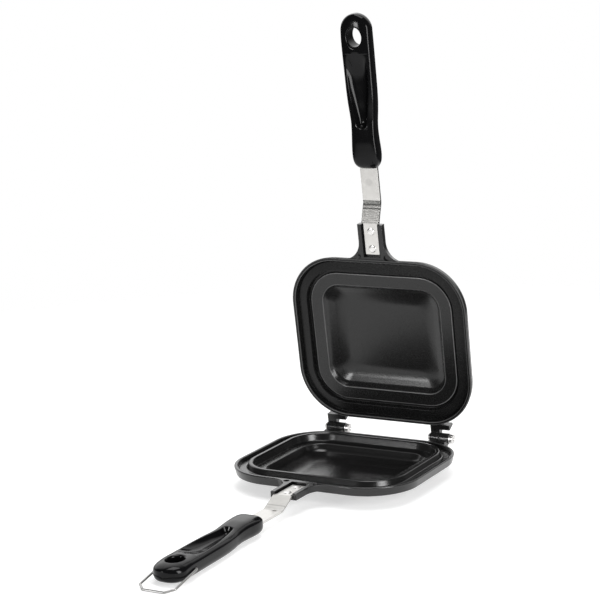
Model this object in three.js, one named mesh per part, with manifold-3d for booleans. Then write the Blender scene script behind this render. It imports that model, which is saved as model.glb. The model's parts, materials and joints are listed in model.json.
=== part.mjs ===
// A stovetop sandwich press: two cast pans hinged at the back, each with a steel bracket and a moulded
// handle, and a wire latch on the lower handle that swings over the end of the upper one.
// Millimetres, +Z up. The origin is the middle of the lower pan's base, and the handles point to -Y.
// Each half is built in its own frame: the parting plane is z = 0, through the hinge axis, and the pan
// lies below it. The upper half is the same frame turned over and swung open.

import * as THREE from 'three';
import * as BufferGeometryUtils from 'three/addons/utils/BufferGeometryUtils.js';
import Module from 'manifold-3d';

const wasm = await Module();
wasm.setup();

// Pan outline, seen from above
const panWidth = 156;
const panDepth = 139.6;
const cornerRadius = 41.8;
const smallestCorner = 2;
const cornerSteps = 7;

// Pan section: depths are measured from the parting plane, insets from the outer edge
const lipClearance = 0.2;
const lipWidth = 2.9;
const lipDraft = 0.7;
const lipOuterRound = 1;
const lipInnerRound = 0.7;
const flangeDepth = 3;
const flangeThickness = 2.8;
const flangeRound = 1;
const rimDepth = 7.5;
const rimDraft = 1.9;
const rimRound = 1;
const rimThickness = 4.4;
const ridgeInset = 13.5;
const ridgeHeight = 1.6;
const ridgeCrest = 3;
const ridgeFoot = 7;
const ridgeRound = 1.3;
const grooveWidth = 3;
const grooveDepth = 7.3;
const grooveDraft = 0.5;
const grooveRound = 0.5;
const grooveLip = 0.3;
const lowerLedgeDepth = 4.2;
const upperLedgeDepth = 6;
const ledgeRound = 0.8;
const cavityInset = 25.2;
const cavityRun = 8.3;
const cavityDepth = 14;
const cavityKneeRun = 3;
const cavityKneeDepth = 11;
const cavityEdgeRound = 1.1;
const cavityHollowRound = 11;
const cavityFloorRim = 7;
const outerWallRun = 6.2;
const wallThickness = 2.6;
const floorThickness = 4;
const baseRound = 12;
const undersideRound = 2;
const smallSteps = 2;
const largeSteps = 4;

// Socket for the bracket, at the front of each pan
const socketWidth = 21.8;
const socketLength = 29.2;
const socketDepth = 5.5;
const socketFlare = 15;
const socketRoot = 2.4;
const socketBlend = 0.6;
const socketBevel = 0.6;
const socketFlareSteps = 6;
const channelWidth = 15;
const channelEndInset = 2;
const tongueEndGap = 2;
const pegOffset = 12.5;
const pegInset = 2;
const pegRadius = 1.9;
const pegHeight = 1.2;
const pegClearance = 0.5;

// Hinges at the back
const hingeSpacingShare = 0.605;
const hingeShift = 1.2;
const hingeSetback = 9.7;
const knuckleRadius = 4.3;
const knuckleLength = 7.9;
const knuckleGap = 0.4;
const knuckleShift = 2;
const lugWidth = 15;
const lugShift = 0.8;
const shoulderReach = 6.9;
const shoulderTip = 1.5;
const shoulderTaper = 2.4;
const lugRoot = 1.5;
const pinRadius = 2.2;
const pinClearance = 0.3;
const pinHeadRadius = 3.8;
const pinHeadHeight = 2.2;
const pinHeadRound = 0.7;
const pinTailRadius = 3.2;
const pinTailHeight = 1.6;
const pinTailRound = 0.9;
const washerRadius = 4;
const washerThickness = 0.9;
const openAngle = THREE.MathUtils.degToRad(81.9);

// Bracket: one strip of sheet steel, from the tongue in the socket to the tang in the handle
const stripWidth = 15.4;
const stripThickness = 1.8;
const tongueWidth = 12.1;
const tongueDepth = 2;
const tongueCorner = 1.2;
const jogStart = 1.3;
const jogRun = 14.9;
const handleDepth = 8.7;
const innerBend = 4;
const outerBend = 7;
const bendSteps = 4;
const tangWidth = 11;
const tangLength = 28;
const tangShoulder = 5;
const seatGap = 0.3;
const ventRadius = 1.6;
const ventOffset = 2.4;
const ventFromHandle = 27.2;
const rivetSpacing = 14.4;
const rivetFromEnd = 4.6;
const rivetRadius = 2;
const rivetHeadRadius = 3.1;
const rivetHeadHeight = 0.8;
const lockHoleRadius = 2.2;
const lockHoleFirst = 10;
const lockHolePitch = 11;

// Handle: one moulding, used twice
const handleStart = 74.6;
const handleLength = 122.1;
const handleWidth = 25.5;
const handleThickness = 13.8;
const handleInnerDepth = 3.7;
const handleWaistShare = 0.48;
const innerFacePower = 4.6;
const outerFacePower = 2.9;
const handleSides = 24;
const tipInnerRound = 4;
const tipOuterRound = 5;
const tipSteps = 8;
const scoopDepth = 5.2;
const scoopWidth = 16.6;
const scoopPower = 1.9;
const scoopSides = 10;
const hangHoleWidth = 12.4;
const hangHoleLength = 15.2;
const hangHoleFromTip = 17.8;
const hangHoleRound = 1.7;
const hangHoleFlare = 2.6;
const hangHoleSides = 20;

// Rows of the handle: share of its length, of its half width, and of its thickness taken off each face
const handleStationShares = [
  [0, 0.62, 0.3, 0.3],
  [0.008, 0.71, 0.19, 0.19],
  [0.022, 0.79, 0.11, 0.13],
  [0.045, 0.85, 0.05, 0.1],
  [0.08, 0.895, 0.015, 0.085],
  [0.13, 0.885, 0, 0.09],
  [0.185, 0.845, 0, 0.1],
  [0.25, 0.82, 0, 0.1],
  [0.305, 0.83, 0, 0.06],
  [0.36, 0.88, 0, 0.02],
  [0.43, 0.937, 0, 0],
  [0.51, 0.97, 0, 0],
  [0.63, 0.985, 0, 0],
  [0.76, 1, 0, 0],
];

// Rows of the finger scoop: share of the handle's length, of the scoop's half width and of its depth
const scoopStationShares = [
  [0.268, 0.16, 0.25],
  [0.273, 0.32, 0.6],
  [0.287, 0.45, 0.88],
  [0.312, 0.51, 0.96],
  [0.37, 0.65, 1],
  [0.435, 0.77, 1],
  [0.53, 0.93, 1],
  [0.63, 0.99, 0.97],
  [0.69, 1, 0.8],
  [0.722, 0.95, 0.5],
  [0.745, 0.78, 0.2],
];

// Wire latch on the lower handle
const wireRadius = 0.9;
const wireClearance = 0.3;
const latchPivotFromTip = 23;
const latchReach = 34.6;
const latchChamferLength = 5.7;
const latchChamferWidth = 5.7;
const latchBend = 1.5;
const latchEndDepth = 4;
const latchFloorGap = 0.1;
const wireSides = 8;
const wireSteps = 56;

// Shared overrun of every cut, and the faceting of round pieces
const overrun = 1;
const roundSides = 20;
const smallRoundSides = 14;

// Values that follow
const baseDepth = cavityDepth + floorThickness;
const halfWidth = panWidth / 2;
const halfDepth = panDepth / 2;
const hingeY = halfDepth + hingeSetback;
const hingeSpacing = panWidth * hingeSpacingShare;
const socketEndY = -halfDepth - socketLength;
const channelEndY = -halfDepth - channelEndInset;
const channelDepth = tongueDepth + stripThickness + seatGap;
const tongueEndY = channelEndY - tongueEndGap;
const handleY = -halfDepth - handleStart;
const tipY = handleY - handleLength;
const tipRadius = handleWidth / 2;
const handleOuterDepth = handleInnerDepth + handleThickness;
const latchPivotY = tipY + latchPivotFromTip;
const latchPivotDepth = handleInnerDepth + handleThickness / 2;
const latchLegX = handleWidth / 2 + wireClearance + wireRadius;
const latchDrop = baseDepth - latchPivotDepth - wireRadius - latchFloorGap;
const latchAngle = Math.asin(latchDrop / latchReach);

// Solids and geometries

function solidFrom(geometry) {
  const bare = geometry.clone();
  bare.deleteAttribute('normal');
  bare.deleteAttribute('uv');
  const merged = BufferGeometryUtils.mergeVertices(bare);
  const index = merged.index.array;
  const triVerts = [];
  for (let i = 0; i < index.length; i += 3) {
    const [a, b, c] = [index[i], index[i + 1], index[i + 2]];
    if (a !== b && b !== c && c !== a) {
      triVerts.push(a, b, c);
    }
  }
  const mesh = new wasm.Mesh({
    numProp: 3,
    vertProperties: new Float32Array(merged.attributes.position.array),
    triVerts: new Uint32Array(triVerts),
  });
  return new wasm.Manifold(mesh);
}

function geometryFrom(solid) {
  const mesh = solid.getMesh();
  const geometry = new THREE.BufferGeometry();
  geometry.setAttribute('position', new THREE.BufferAttribute(new Float32Array(mesh.vertProperties), 3));
  geometry.setIndex(new THREE.BufferAttribute(new Uint32Array(mesh.triVerts), 1));
  geometry.computeVertexNormals();
  return geometry;
}

// Closed skin over a row of rings with equal point counts, each end closed on its middle
function skin(rings) {
  const count = rings[0].length;
  const points = rings.flat();
  const faces = [];
  for (let r = 0; r + 1 < rings.length; r += 1) {
    for (let i = 0; i < count; i += 1) {
      const next = (i + 1) % count;
      const a = r * count + i;
      const b = r * count + next;
      faces.push([a, b, b + count], [a, b + count, a + count]);
    }
  }
  for (const [ring, start, flip] of [[rings[0], 0, true], [rings.at(-1), (rings.length - 1) * count, false]]) {
    const middle = ring.reduce((sum, p) => sum.add(p), new THREE.Vector3()).divideScalar(count);
    points.push(middle);
    for (let i = 0; i < count; i += 1) {
      const a = start + i;
      const b = start + (i + 1) % count;
      faces.push(flip ? [points.length - 1, b, a] : [points.length - 1, a, b]);
    }
  }
  const geometry = new THREE.BufferGeometry().setFromPoints(points);
  geometry.setIndex(faces.flat());
  if (volumeOf(points, faces) < 0) {
    geometry.setIndex(faces.map(([a, b, c]) => [a, c, b]).flat());
  }
  geometry.computeVertexNormals();
  return geometry;
}

function volumeOf(points, faces) {
  const cross = new THREE.Vector3();
  return faces.reduce((sum, [a, b, c]) => sum + cross.crossVectors(points[a], points[b]).dot(points[c]), 0);
}

function box(xLow, xHigh, yLow, yHigh, zLow, zHigh) {
  const geometry = new THREE.BoxGeometry(xHigh - xLow, yHigh - yLow, zHigh - zLow);
  return geometry.translate((xLow + xHigh) / 2, (yLow + yHigh) / 2, (zLow + zHigh) / 2);
}

function uprightCylinder(radius, x, y, zLow, zHigh, sides) {
  const geometry = new THREE.CylinderGeometry(radius, radius, zHigh - zLow, sides);
  return geometry.rotateX(Math.PI / 2).translate(x, y, (zLow + zHigh) / 2);
}

// A side view in (y, z), pushed along X from xLow to xHigh
function sideExtrusion(shape, xLow, xHigh) {
  const geometry = new THREE.ExtrudeGeometry(shape, { depth: xHigh - xLow, bevelEnabled: false });
  const turn = new THREE.Matrix4().makeBasis(
    new THREE.Vector3(0, 1, 0),
    new THREE.Vector3(0, 0, 1),
    new THREE.Vector3(1, 0, 0),
  );
  return geometry.applyMatrix4(turn).translate(xLow, 0, 0);
}

// Corners [x, y, radius, steps] joined by straight lines, each corner rounded by an arc
function roundedLine(corners) {
  const line = [];
  corners.forEach(([x, y, radius = 0, steps = smallSteps], i) => {
    const corner = new THREE.Vector2(x, y);
    if (radius === 0 || i === 0 || i === corners.length - 1) {
      line.push(corner);
      return;
    }
    const back = new THREE.Vector2(...corners[i - 1].slice(0, 2)).sub(corner);
    const ahead = new THREE.Vector2(...corners[i + 1].slice(0, 2)).sub(corner);
    const limit = Math.min(back.length(), ahead.length()) / 2;
    back.normalize();
    ahead.normalize();
    const half = Math.acos(THREE.MathUtils.clamp(back.dot(ahead), -1, 1)) / 2;
    const reach = Math.min(radius / Math.tan(half), limit);
    const used = reach * Math.tan(half);
    const centre = corner.clone().add(back.clone().add(ahead).normalize().multiplyScalar(used / Math.sin(half)));
    const from = corner.clone().addScaledVector(back, reach).sub(centre);
    const sweep = Math.PI - 2 * half;
    const side = Math.sign(ahead.cross(back));
    for (let k = 0; k <= steps; k += 1) {
      line.push(from.clone().rotateAround(new THREE.Vector2(), side * sweep * k / steps).add(centre));
    }
  });
  return line;
}

// Pans

function rimRing(inset, height) {
  const radius = Math.max(cornerRadius - inset, smallestCorner);
  const x = halfWidth - inset - radius;
  const y = halfDepth - inset - radius;
  const ring = [];
  [[x, y], [-x, y], [-x, -y], [x, -y]].forEach(([cx, cy], quarter) => {
    for (let k = 0; k <= cornerSteps; k += 1) {
      const angle = (quarter + k / cornerSteps) * Math.PI / 2;
      ring.push(new THREE.Vector3(cx + radius * Math.cos(angle), cy + radius * Math.sin(angle), height));
    }
  });
  return ring;
}

// The section's line from the base, round the rim, to the cavity's floor
function panSection(ledgeDepth, flangeForm) {
  const run = new THREE.Vector2(outerWallRun, ledgeDepth - cavityDepth);
  const offset = new THREE.Vector2(run.y, -run.x).normalize().multiplyScalar(wallThickness);
  const wallInsetAt = (depth) => {
    const down = (depth + offset.y - ledgeDepth) / (cavityDepth - ledgeDepth);
    return cavityInset + offset.x + down * outerWallRun;
  };
  const ledgeUnder = ledgeDepth + wallThickness;
  const flangeUnder = flangeDepth + flangeThickness;
  const stepInset = ridgeInset - ridgeFoot / 2;
  return roundedLine([
    [wallInsetAt(baseDepth) + baseRound, -baseDepth],
    [wallInsetAt(baseDepth), -baseDepth, baseRound, largeSteps],
    [wallInsetAt(ledgeUnder), -ledgeUnder, undersideRound],
    [stepInset + ledgeRound, -ledgeUnder],
    [stepInset, -flangeUnder],
    [rimThickness, -flangeUnder],
    [rimThickness, -rimDepth],
    [rimDraft, -rimDepth, rimRound],
    [0, -lipClearance, lipOuterRound],
    [lipWidth, -lipClearance, lipInnerRound],
    [lipWidth + lipDraft, -flangeDepth, flangeRound],
    ...flangeForm,
    [cavityInset, -ledgeDepth, cavityEdgeRound, smallSteps + 1],
    [cavityInset + cavityKneeRun, -cavityKneeDepth, cavityHollowRound],
    [cavityInset + cavityRun, -cavityDepth, cavityHollowRound, smallSteps + 1],
    [cavityInset + cavityRun + cavityFloorRim, -cavityDepth],
  ]);
}

// Lower pan: a raised ridge presses the crust. Upper pan: a groove that faces the ridge
const ridgeForm = [
  [ridgeInset - ridgeFoot / 2, -flangeDepth, flangeRound],
  [ridgeInset - ridgeCrest / 2, ridgeHeight, ridgeRound],
  [ridgeInset + ridgeCrest / 2, ridgeHeight, ridgeRound],
  [ridgeInset + ridgeFoot / 2, -lowerLedgeDepth, flangeRound],
];
const grooveForm = [
  [ridgeInset - grooveWidth / 2, -flangeDepth, grooveRound],
  [ridgeInset - grooveWidth / 2 + grooveDraft, -grooveDepth, grooveRound],
  [ridgeInset + grooveWidth / 2 - grooveDraft, -grooveDepth, grooveRound],
  [ridgeInset + grooveWidth / 2, -upperLedgeDepth + grooveLip, grooveRound],
];

function socketSolid() {
  const rootY = -halfDepth + socketRoot;
  const flareX = socketWidth / 2 + socketFlare;
  const frontY = -halfDepth + socketBlend;
  const flareY = frontY - socketFlare;
  const outline = new THREE.Shape();
  outline.moveTo(-socketWidth / 2, socketEndY);
  outline.lineTo(socketWidth / 2, socketEndY);
  outline.lineTo(socketWidth / 2, flareY);
  outline.absarc(flareX, flareY, socketFlare, Math.PI, Math.PI / 2, true);
  outline.lineTo(flareX, rootY);
  outline.lineTo(-flareX, rootY);
  outline.lineTo(-flareX, frontY);
  outline.absarc(-flareX, flareY, socketFlare, Math.PI / 2, 0, true);
  outline.closePath();
  const geometry = new THREE.ExtrudeGeometry(outline, {
    depth: socketDepth - lipClearance - 2 * socketBevel,
    bevelThickness: socketBevel,
    bevelSize: socketBevel,
    bevelOffset: -socketBevel,
    bevelSegments: 1,
    curveSegments: socketFlareSteps,
  });
  return solidFrom(geometry.translate(0, 0, -socketDepth + socketBevel));
}

// Places of the two rivets, along the tongue
function rivetPlaces() {
  return [0, 1].map((i) => tongueEndY - rivetFromEnd - i * rivetSpacing);
}

// Knuckle side view: the arm leaves the lug and wraps round the pin
function knuckleShape() {
  const root = halfDepth - lugRoot;
  const topAngle = Math.PI + Math.asin(lipClearance / knuckleRadius);
  const shape = new THREE.Shape();
  shape.moveTo(root, -lipClearance);
  shape.absarc(hingeY, 0, knuckleRadius, topAngle, -Math.PI / 2 - Math.PI / 8, true);
  shape.lineTo(halfDepth + shoulderTaper, -rimDepth);
  shape.lineTo(root, -rimDepth);
  shape.closePath();
  return shape;
}

function lugShape() {
  const root = halfDepth - lugRoot;
  const end = hingeY - shoulderReach;
  const shape = new THREE.Shape();
  shape.moveTo(root, -lipClearance);
  shape.lineTo(root, -rimDepth);
  shape.lineTo(end - shoulderTaper, -rimDepth);
  shape.lineTo(end, -lipClearance - shoulderTip);
  shape.lineTo(end, -lipClearance);
  shape.closePath();
  return shape;
}

// Where a hinge's knuckles and lug lie along X: the knuckles leave room for the pin head on the +X side
function hingeSpans(side) {
  const centre = side * hingeSpacing / 2 + hingeShift;
  const meet = centre - knuckleShift;
  return {
    lug: [centre - lugShift - lugWidth / 2, centre - lugShift + lugWidth / 2],
    upper: [meet - knuckleGap / 2 - knuckleLength, meet - knuckleGap / 2],
    lower: [meet + knuckleGap / 2, meet + knuckleGap / 2 + knuckleLength],
  };
}

function xAxisCylinder(radius, xLow, xHigh, y, z, sides) {
  const geometry = new THREE.CylinderGeometry(radius, radius, xHigh - xLow, sides);
  return geometry.rotateZ(Math.PI / 2).translate((xLow + xHigh) / 2, y, z);
}

// One pan in its half's frame. The turned-over half sees X the other way round, so facing is -1 there
function panGeometry(ledgeDepth, flangeForm, knuckle, facing) {
  const rings = panSection(ledgeDepth, flangeForm).map((p) => rimRing(p.x, p.y));
  const channelTop = new THREE.Shape();
  const channelHalf = channelWidth / 2;
  channelTop.moveTo(-channelHalf, socketEndY - overrun);
  channelTop.lineTo(channelHalf, socketEndY - overrun);
  channelTop.lineTo(channelHalf, channelEndY);
  channelTop.lineTo(-channelHalf, channelEndY);
  const channel = new THREE.ExtrudeGeometry(channelTop, {
    depth: channelDepth + overrun,
    bevelEnabled: false,
  }).translate(0, 0, -channelDepth);
  let pan = solidFrom(skin(rings)).add(socketSolid()).subtract(solidFrom(channel));
  const pegY = -halfDepth - pegInset;
  const peg = uprightCylinder(pegRadius, pegOffset, pegY, -flangeDepth, pegHeight, smallRoundSides);
  const pocketRadius = pegRadius + pegClearance;
  const pocketFloor = -pegHeight - pegClearance;
  const pocket = uprightCylinder(pocketRadius, -pegOffset, pegY, pocketFloor, overrun, smallRoundSides);
  pan = pan.add(solidFrom(peg)).subtract(solidFrom(pocket));
  for (const y of rivetPlaces()) {
    const hole = uprightCylinder(rivetRadius + seatGap, 0, y, -socketDepth - overrun, overrun, smallRoundSides);
    pan = pan.subtract(solidFrom(hole));
  }
  for (const side of [-1, 1]) {
    const spans = hingeSpans(side);
    const inHalf = ([low, high]) => (facing > 0 ? [low, high] : [-high, -low]);
    pan = pan.add(solidFrom(sideExtrusion(lugShape(), ...inHalf(spans.lug))));
    pan = pan.add(solidFrom(sideExtrusion(knuckleShape(), ...inHalf(spans[knuckle]))));
    const [boreLow, boreHigh] = inHalf([spans.upper[0] - overrun, spans.lower[1] + overrun]);
    const bore = xAxisCylinder(pinRadius + pinClearance, boreLow, boreHigh, hingeY, 0, roundSides);
    pan = pan.subtract(solidFrom(bore));
  }
  return geometryFrom(pan);
}

// Hinge pins and washers

function turnedAlongX(profile, sides) {
  const points = profile.map(([radius, x]) => new THREE.Vector2(radius, x));
  return new THREE.LatheGeometry(points, sides).rotateZ(-Math.PI / 2);
}

function hingePin(side) {
  const spans = hingeSpans(side);
  const tail = spans.upper[0] - seatGap;
  const washer = spans.lower[1] + seatGap;
  const head = washer + washerThickness + seatGap;
  return turnedAlongX([
    [0, tail - pinTailHeight],
    [pinTailRadius - pinTailRound, tail - pinTailHeight],
    [pinTailRadius, tail - pinTailHeight + pinTailRound],
    [pinTailRadius, tail],
    [pinRadius, tail],
    [pinRadius, head],
    [pinHeadRadius, head],
    [pinHeadRadius, head + pinHeadHeight - pinHeadRound],
    [pinHeadRadius - pinHeadRound, head + pinHeadHeight],
    [0, head + pinHeadHeight],
  ], roundSides);
}

function hingeWasher(side) {
  const low = hingeSpans(side).lower[1] + seatGap;
  const high = low + washerThickness;
  const hole = pinRadius + pinClearance;
  return turnedAlongX([
    [hole, low],
    [washerRadius, low],
    [washerRadius, high],
    [hole, high],
    [hole, low],
  ], roundSides);
}

// Brackets and rivets

function stripLine() {
  const tangEndY = handleY - tangLength;
  return roundedLine([
    [tongueEndY, -tongueDepth],
    [socketEndY - jogStart, -tongueDepth, innerBend, bendSteps],
    [socketEndY - jogStart - jogRun, -handleDepth, outerBend, bendSteps],
    [tangEndY, -handleDepth],
  ]);
}

function bracketGeometry(withVent) {
  const top = stripLine();
  const under = top.map((point, i) => {
    const before = top[Math.max(i - 1, 0)];
    const after = top[Math.min(i + 1, top.length - 1)];
    const along = after.clone().sub(before).normalize();
    return new THREE.Vector2(point.x - along.y * stripThickness, point.y + along.x * stripThickness);
  });
  const outline = new THREE.Shape([...top, ...under.reverse()]);
  let strip = solidFrom(sideExtrusion(outline, -stripWidth / 2, stripWidth / 2));
  const low = -handleDepth - stripThickness - overrun;
  const tangY = handleY - tangShoulder;
  const tongueY = socketEndY - seatGap;
  for (const side of [-1, 1]) {
    const outside = stripWidth / 2 + overrun;
    const span = (inner) => (side > 0 ? [inner, outside] : [-outside, -inner]);
    const besideTongue = box(...span(tongueWidth / 2), tongueY, tongueEndY + overrun, low, overrun);
    const besideTang = box(...span(tangWidth / 2), tipY, tangY, low, overrun);
    strip = strip.subtract(solidFrom(besideTongue)).subtract(solidFrom(besideTang));
    const corner = box(-tongueCorner, tongueCorner, -tongueCorner, tongueCorner, low, overrun);
    corner.rotateZ(Math.PI / 4).translate(side * tongueWidth / 2, tongueEndY, 0);
    strip = strip.subtract(solidFrom(corner));
  }
  for (const y of rivetPlaces()) {
    const hole = uprightCylinder(rivetRadius + seatGap, 0, y, low, overrun, smallRoundSides);
    strip = strip.subtract(solidFrom(hole));
  }
  if (withVent) {
    const y = handleY + ventFromHandle;
    const vent = uprightCylinder(ventRadius, ventOffset, y, low, overrun, smallRoundSides);
    strip = strip.subtract(solidFrom(vent));
  }
  for (const y of lockPlaces()) {
    const hole = uprightCylinder(lockHoleRadius, 0, y, low, overrun, smallRoundSides);
    strip = strip.subtract(solidFrom(hole));
  }
  return geometryFrom(strip);
}

function lockPlaces() {
  return [0, 1].map((i) => handleY - lockHoleFirst - i * lockHolePitch);
}

// A rivet through the tongue and the socket's floor, with a low dome on each side
function rivetGeometry(y) {
  const top = -tongueDepth + seatGap;
  const bottom = -socketDepth - seatGap;
  const crown = rivetHeadHeight - seatGap;
  const dome = [0.35, 0.7].map((share) => [
    rivetHeadRadius * Math.cos(share * Math.PI / 2),
    Math.sin(share * Math.PI / 2),
  ]);
  const points = [
    [0, bottom - crown],
    ...dome.toReversed().map(([radius, rise]) => [radius, bottom - crown * rise]),
    [rivetHeadRadius, bottom],
    [rivetRadius, bottom],
    [rivetRadius, top],
    [rivetHeadRadius, top],
    ...dome.map(([radius, rise]) => [radius, top + crown * rise]),
    [0, top + crown],
  ].map(([radius, z]) => new THREE.Vector2(radius, z));
  return new THREE.LatheGeometry(points, smallRoundSides).rotateX(Math.PI / 2).translate(0, y, 0);
}

// Handles

function handleRing(y, half, innerDepth, outerDepth) {
  const waist = innerDepth + (outerDepth - innerDepth) * handleWaistShare;
  const ring = [];
  for (let i = 0; i < handleSides; i += 1) {
    const angle = (i + 0.5) / handleSides * 2 * Math.PI;
    const [c, s] = [Math.cos(angle), Math.sin(angle)];
    const power = 2 / (s > 0 ? innerFacePower : outerFacePower);
    const reach = s > 0 ? waist - innerDepth : outerDepth - waist;
    ring.push(new THREE.Vector3(
      half * Math.sign(c) * Math.abs(c) ** power,
      y,
      -waist + reach * Math.sign(s) * Math.abs(s) ** power,
    ));
  }
  return ring;
}

function handleRings() {
  const rings = handleStationShares.map(([along, width, inner, outer]) => handleRing(
    handleY - along * handleLength,
    width * handleWidth / 2,
    handleInnerDepth + inner * handleThickness,
    handleOuterDepth - outer * handleThickness,
  ));
  for (let k = 0; k < tipSteps; k += 1) {
    const turn = k / tipSteps * Math.PI / 2;
    const rounding = 1 - Math.cos(turn);
    rings.push(handleRing(
      tipY + tipRadius - tipRadius * Math.sin(turn),
      handleWidth / 2 * Math.cos(turn),
      handleInnerDepth + tipInnerRound * rounding,
      handleOuterDepth - tipOuterRound * rounding,
    ));
  }
  const last = Math.PI / 2 * (1 - 1 / tipSteps / 3);
  rings.push(handleRing(
    tipY,
    handleWidth / 2 * Math.cos(last),
    handleInnerDepth + tipInnerRound,
    handleOuterDepth - tipOuterRound,
  ));
  return rings;
}

function scoopSolid() {
  const rings = scoopStationShares.map(([along, width, depth]) => {
    const half = width * scoopWidth / 2;
    const ring = [];
    for (let i = 0; i <= scoopSides; i += 1) {
      const across = 2 * i / scoopSides - 1;
      const fall = depth * scoopDepth * (1 - Math.abs(across) ** scoopPower);
      ring.push(new THREE.Vector3(across * half, handleY - along * handleLength, -handleInnerDepth - fall));
    }
    ring.push(new THREE.Vector3(half, handleY - along * handleLength, overrun));
    ring.push(new THREE.Vector3(-half, handleY - along * handleLength, overrun));
    return ring;
  });
  return solidFrom(skin(rings));
}

// The hanging hole is an oval, rounded off at the inner face and flared at the outer one
function hangHoleSolid() {
  const y = tipY + hangHoleFromTip;
  const levels = [
    [-handleOuterDepth - overrun, hangHoleFlare],
    [-handleOuterDepth, hangHoleFlare],
    [-handleOuterDepth + hangHoleFlare, 0],
    [-handleInnerDepth - hangHoleRound, 0],
    [-handleInnerDepth, hangHoleRound],
    [overrun, hangHoleRound],
  ];
  const rings = levels.map(([z, wider]) => {
    const ring = [];
    for (let i = 0; i < hangHoleSides; i += 1) {
      const angle = i / hangHoleSides * 2 * Math.PI;
      const x = (hangHoleWidth / 2 + wider) * Math.cos(angle);
      ring.push(new THREE.Vector3(x, y + (hangHoleLength / 2 + wider) * Math.sin(angle), z));
    }
    return ring;
  });
  return solidFrom(skin(rings));
}

// Room for the tang. The moulding runs through the tang's holes, which locks it on
function tangRoom() {
  const low = -handleDepth - stripThickness - seatGap;
  const high = -handleDepth + seatGap;
  const shoulderY = handleY - tangShoulder - seatGap;
  const mouth = box(
    -stripWidth / 2 - seatGap,
    stripWidth / 2 + seatGap,
    shoulderY,
    handleY + overrun,
    low,
    high,
  );
  const endY = handleY - tangLength - seatGap;
  const slot = box(-tangWidth / 2 - seatGap, tangWidth / 2 + seatGap, endY, shoulderY + overrun, low, high);
  let room = solidFrom(mouth).add(solidFrom(slot));
  for (const y of lockPlaces()) {
    const radius = lockHoleRadius - seatGap;
    const post = uprightCylinder(radius, 0, y, low - overrun, high + overrun, smallRoundSides);
    room = room.subtract(solidFrom(post));
  }
  return room;
}

function handleGeometry(withLatch) {
  let handle = solidFrom(skin(handleRings()));
  handle = handle.subtract(scoopSolid()).subtract(hangHoleSolid()).subtract(tangRoom());
  if (withLatch) {
    for (const side of [-1, 1]) {
      const inner = latchLegX - wireRadius - wireClearance - latchEndDepth - wireClearance;
      const outer = latchLegX + overrun;
      const [low, high] = side > 0 ? [inner, outer] : [-outer, -inner];
      const radius = wireRadius + wireClearance;
      const hole = xAxisCylinder(radius, low, high, latchPivotY, -latchPivotDepth, smallRoundSides);
      handle = handle.subtract(solidFrom(hole));
    }
  }
  return geometryFrom(handle);
}

// Wire latch: its ends turn into the handle's sides, its legs run past the tip, and a bar joins them

function latchGeometry() {
  const endX = latchLegX - wireRadius - wireClearance - latchEndDepth;
  const barX = latchLegX - latchChamferWidth;
  const half = [
    [endX, 0],
    [latchLegX, 0],
    [latchLegX, -latchReach + latchChamferLength],
    [barX, -latchReach],
  ];
  const corners = [...half, ...half.toReversed().map(([x, y]) => [-x, y])];
  const line = roundedLine(corners.map(([x, y]) => [x, y, latchBend, bendSteps]));
  const path = new THREE.CurvePath();
  for (let i = 0; i + 1 < line.length; i += 1) {
    path.add(new THREE.LineCurve3(
      new THREE.Vector3(line[i].x, line[i].y, 0),
      new THREE.Vector3(line[i + 1].x, line[i + 1].y, 0),
    ));
  }
  const section = new THREE.Shape();
  for (let i = 0; i < wireSides; i += 1) {
    const angle = (i + 0.5) / wireSides * 2 * Math.PI;
    const point = [wireRadius * Math.cos(angle), wireRadius * Math.sin(angle)];
    if (i === 0) {
      section.moveTo(...point);
    } else {
      section.lineTo(...point);
    }
  }
  section.closePath();
  return new THREE.ExtrudeGeometry(section, { steps: wireSteps, bevelEnabled: false, extrudePath: path });
}

// Finishes

const castNonstick = { color: 0x232426, roughness: 0.42, metalness: 0.35 };
const mouldedPhenolic = { color: 0x0b0b0d, roughness: 0.16, metalness: 0 };
const brushedSteel = { color: 0xc9c9c8, roughness: 0.28, metalness: 1 };
const polishedSteel = { color: 0xd6d6d6, roughness: 0.18, metalness: 1 };

function piece(name, geometry, finish) {
  const mesh = new THREE.Mesh(geometry, new THREE.MeshStandardMaterial(finish));
  mesh.name = name;
  return mesh;
}

// The pieces that both halves share, named after the half
function halfPieces(half) {
  const pieces = [piece(`${half}_handle_bracket`, bracketGeometry(half === 'lower'), brushedSteel)];
  rivetPlaces().forEach((y, i) => {
    const place = ['inner', 'outer'][i];
    pieces.push(piece(`${half}_bracket_rivet_${place}`, rivetGeometry(y), polishedSteel));
  });
  pieces.push(piece(`${half}_handle`, handleGeometry(half === 'lower'), mouldedPhenolic));
  return pieces;
}

const lowerHalf = new THREE.Group();
lowerHalf.position.z = baseDepth;
lowerHalf.add(piece('lower_pan', panGeometry(lowerLedgeDepth, ridgeForm, 'lower', 1), castNonstick));
lowerHalf.add(...halfPieces('lower'));
for (const [side, place] of [[-1, 'left'], [1, 'right']]) {
  const pin = piece(`hinge_pin_${place}`, hingePin(side), polishedSteel);
  const washer = piece(`hinge_washer_${place}`, hingeWasher(side), polishedSteel);
  pin.position.y = hingeY;
  washer.position.y = hingeY;
  lowerHalf.add(pin, washer);
}

const latch = piece('latch_wire', latchGeometry(), polishedSteel);
latch.position.set(0, latchPivotY, -latchPivotDepth);
latch.rotation.x = latchAngle;
lowerHalf.add(latch);

const upperHalf = new THREE.Group();
upperHalf.position.set(0, hingeY, baseDepth);
upperHalf.rotation.x = -openAngle;
const turnedOver = new THREE.Group();
turnedOver.position.y = -hingeY;
turnedOver.rotation.y = Math.PI;
turnedOver.add(piece('upper_pan', panGeometry(upperLedgeDepth, grooveForm, 'upper', -1), castNonstick));
turnedOver.add(...halfPieces('upper'));
upperHalf.add(turnedOver);

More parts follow.
